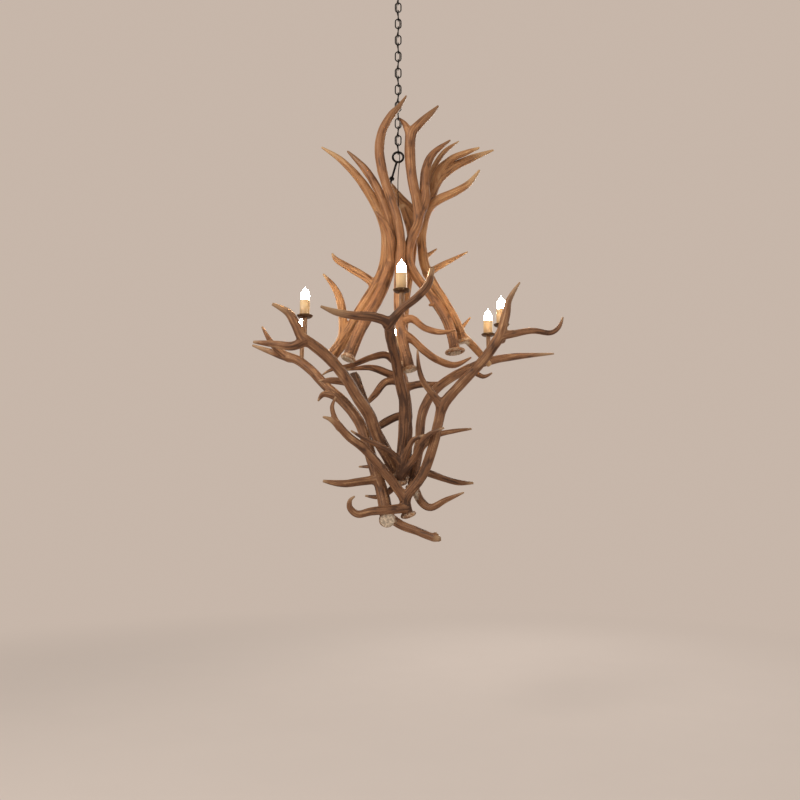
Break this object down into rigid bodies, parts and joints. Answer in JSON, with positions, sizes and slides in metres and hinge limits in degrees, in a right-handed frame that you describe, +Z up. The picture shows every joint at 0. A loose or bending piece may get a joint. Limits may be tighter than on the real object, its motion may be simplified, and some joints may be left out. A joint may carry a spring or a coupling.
{
  "type": "antler chandelier",
  "caption": "Rustic chandelier of interlocked deer antlers with candle lamps on the lower tines, hung on a welded chain from a ceiling canopy.",
  "frame": {"origin": "middle of the ceiling plate's top face, where it is screwed to the ceiling", "axes": "+Z up, out of the ceiling plate into the ceiling; -Y towards the front of the picture; +X to the right"},
  "size_m": [1.2697, 0.9995, 2.2877],
  "materials": {
    "pale_antler": "satin",
    "brown_antler": "satin",
    "grey_antler": "satin",
    "blackened_steel": "satin",
    "plain_steel": "satin",
    "cord_sheath": "matte",
    "dish_metal": "satin",
    "candle_ivory": "satin",
    "bulb_glass": "gloss",
    "stem_wood": "satin",
    "socket_black": "matte"
  },
  "bodies": {
    "ceiling": {"ceiling_plate": "plain_steel", "ceiling_canopy": "blackened_steel", "canopy_tube": "plain_steel", "canopy_loop": "blackened_steel"},
    "link_01": {"chain_link_01": "blackened_steel"},
    "link_02": {"chain_link_02": "blackened_steel"},
    "link_03": {"chain_link_03": "blackened_steel"},
    "link_04": {"chain_link_04": "blackened_steel"},
    "link_05": {"chain_link_05": "blackened_steel"},
    "link_06": {"chain_link_06": "blackened_steel"},
    "link_07": {"chain_link_07": "blackened_steel"},
    "link_08": {"chain_link_08": "blackened_steel"},
    "link_09": {"chain_link_09": "blackened_steel"},
    "link_10": {"chain_link_10": "blackened_steel"},
    "link_11": {"chain_link_11": "blackened_steel"},
    "link_12": {"chain_link_12": "blackened_steel"},
    "link_13": {"chain_link_13": "blackened_steel"},
    "link_14": {"chain_link_14": "blackened_steel"},
    "link_15": {"chain_link_15": "blackened_steel"},
    "link_16": {"chain_link_16": "blackened_steel"},
    "link_17": {"chain_link_17": "blackened_steel"},
    "link_18": {"chain_link_18": "blackened_steel"},
    "link_19": {"chain_link_19": "blackened_steel"},
    "antlers_and_lamps": {"back_arm": "grey_antler", "candle_bulb_back": "bulb_glass", "candle_bulb_front": "bulb_glass", "candle_bulb_left_back": "bulb_glass", "candle_bulb_left_front": "bulb_glass", "candle_bulb_right_back": "bulb_glass", "candle_bulb_right_front": "bulb_glass", "candle_dish_back": "dish_metal", "candle_dish_front": "dish_metal", "candle_dish_left_back": "dish_metal", "candle_dish_left_front": "dish_metal", "candle_dish_right_back": "dish_metal", "candle_dish_right_front": "dish_metal", "candle_sleeve_back": "candle_ivory", "candle_sleeve_front": "candle_ivory", "candle_sleeve_left_back": "candle_ivory", "candle_sleeve_left_front": "candle_ivory", "candle_sleeve_right_back": "candle_ivory", "candle_sleeve_right_front": "candle_ivory", "candle_stems": "stem_wood", "eye_jam_nut": "plain_steel", "front_arm": "grey_antler", "hanging_eye_bolt": "plain_steel", "lamp_sockets": "socket_black", "left_back_arm": "grey_antler", "left_front_arm": "grey_antler", "power_cord": "cord_sheath", "right_back_arm": "grey_antler", "right_front_arm": "grey_antler", "short_arm": "grey_antler", "upper_back": "pale_antler", "upper_front": "brown_antler", "upper_left_back": "pale_antler", "upper_left_front": "brown_antler", "upper_right_back": "pale_antler", "upper_right_front": "brown_antler"}
  },
  "joints": [
    {"name": "link_01_swing", "type": "hinge", "parent": "ceiling", "child": "link_01", "pos_m": [0, 0, -0.073], "axis": [1, 0, 0], "range_deg": [-6, 6]},
    {"name": "link_02_swing", "type": "hinge", "parent": "link_01", "child": "link_02", "pos_m": [0, 0, -0.1092], "axis": [0, 1, 0], "range_deg": [-6, 6]},
    {"name": "link_03_swing", "type": "hinge", "parent": "link_02", "child": "link_03", "pos_m": [0, 0, -0.1457], "axis": [1, 0, 0], "range_deg": [-6, 6]},
    {"name": "link_04_swing", "type": "hinge", "parent": "link_03", "child": "link_04", "pos_m": [0, 0, -0.1822], "axis": [0, 1, 0], "range_deg": [-6, 6]},
    {"name": "link_05_swing", "type": "hinge", "parent": "link_04", "child": "link_05", "pos_m": [0, 0, -0.2187], "axis": [1, 0, 0], "range_deg": [-6, 6]},
    {"name": "link_06_swing", "type": "hinge", "parent": "link_05", "child": "link_06", "pos_m": [0, 0, -0.2552], "axis": [0, 1, 0], "range_deg": [-6, 6]},
    {"name": "link_07_swing", "type": "hinge", "parent": "link_06", "child": "link_07", "pos_m": [0, 0, -0.2917], "axis": [1, 0, 0], "range_deg": [-6, 6]},
    {"name": "link_08_swing", "type": "hinge", "parent": "link_07", "child": "link_08", "pos_m": [0, 0, -0.3282], "axis": [0, 1, 0], "range_deg": [-6, 6]},
    {"name": "link_09_swing", "type": "hinge", "parent": "link_08", "child": "link_09", "pos_m": [0, 0, -0.3647], "axis": [1, 0, 0], "range_deg": [-6, 6]},
    {"name": "link_10_swing", "type": "hinge", "parent": "link_09", "child": "link_10", "pos_m": [0, 0, -0.4012], "axis": [0, 1, 0], "range_deg": [-6, 6]},
    {"name": "link_11_swing", "type": "hinge", "parent": "link_10", "child": "link_11", "pos_m": [0, 0, -0.4377], "axis": [1, 0, 0], "range_deg": [-6, 6]},
    {"name": "link_12_swing", "type": "hinge", "parent": "link_11", "child": "link_12", "pos_m": [0, 0, -0.4742], "axis": [0, 1, 0], "range_deg": [-6, 6]},
    {"name": "link_13_swing", "type": "hinge", "parent": "link_12", "child": "link_13", "pos_m": [0, 0, -0.5107], "axis": [1, 0, 0], "range_deg": [-6, 6]},
    {"name": "link_14_swing", "type": "hinge", "parent": "link_13", "child": "link_14", "pos_m": [0, 0, -0.5472], "axis": [0, 1, 0], "range_deg": [-6, 6]},
    {"name": "link_15_swing", "type": "hinge", "parent": "link_14", "child": "link_15", "pos_m": [0, 0, -0.5837], "axis": [1, 0, 0], "range_deg": [-6, 6]},
    {"name": "link_16_swing", "type": "hinge", "parent": "link_15", "child": "link_16", "pos_m": [0, 0, -0.6202], "axis": [0, 1, 0], "range_deg": [-6, 6]},
    {"name": "link_17_swing", "type": "hinge", "parent": "link_16", "child": "link_17", "pos_m": [0, 0, -0.6567], "axis": [1, 0, 0], "range_deg": [-6, 6]},
    {"name": "link_18_swing", "type": "hinge", "parent": "link_17", "child": "link_18", "pos_m": [0, 0, -0.6932], "axis": [0, 1, 0], "range_deg": [-6, 6]},
    {"name": "link_19_swing", "type": "hinge", "parent": "link_18", "child": "link_19", "pos_m": [0, 0, -0.7297], "axis": [1, 0, 0], "range_deg": [-6, 6]},
    {"name": "eye_swing", "type": "hinge", "parent": "link_19", "child": "antlers_and_lamps", "pos_m": [0, 0, -0.7662], "axis": [0, 1, 0], "range_deg": [-6, 6], "deforming": ["power_cord"]}
  ]
}
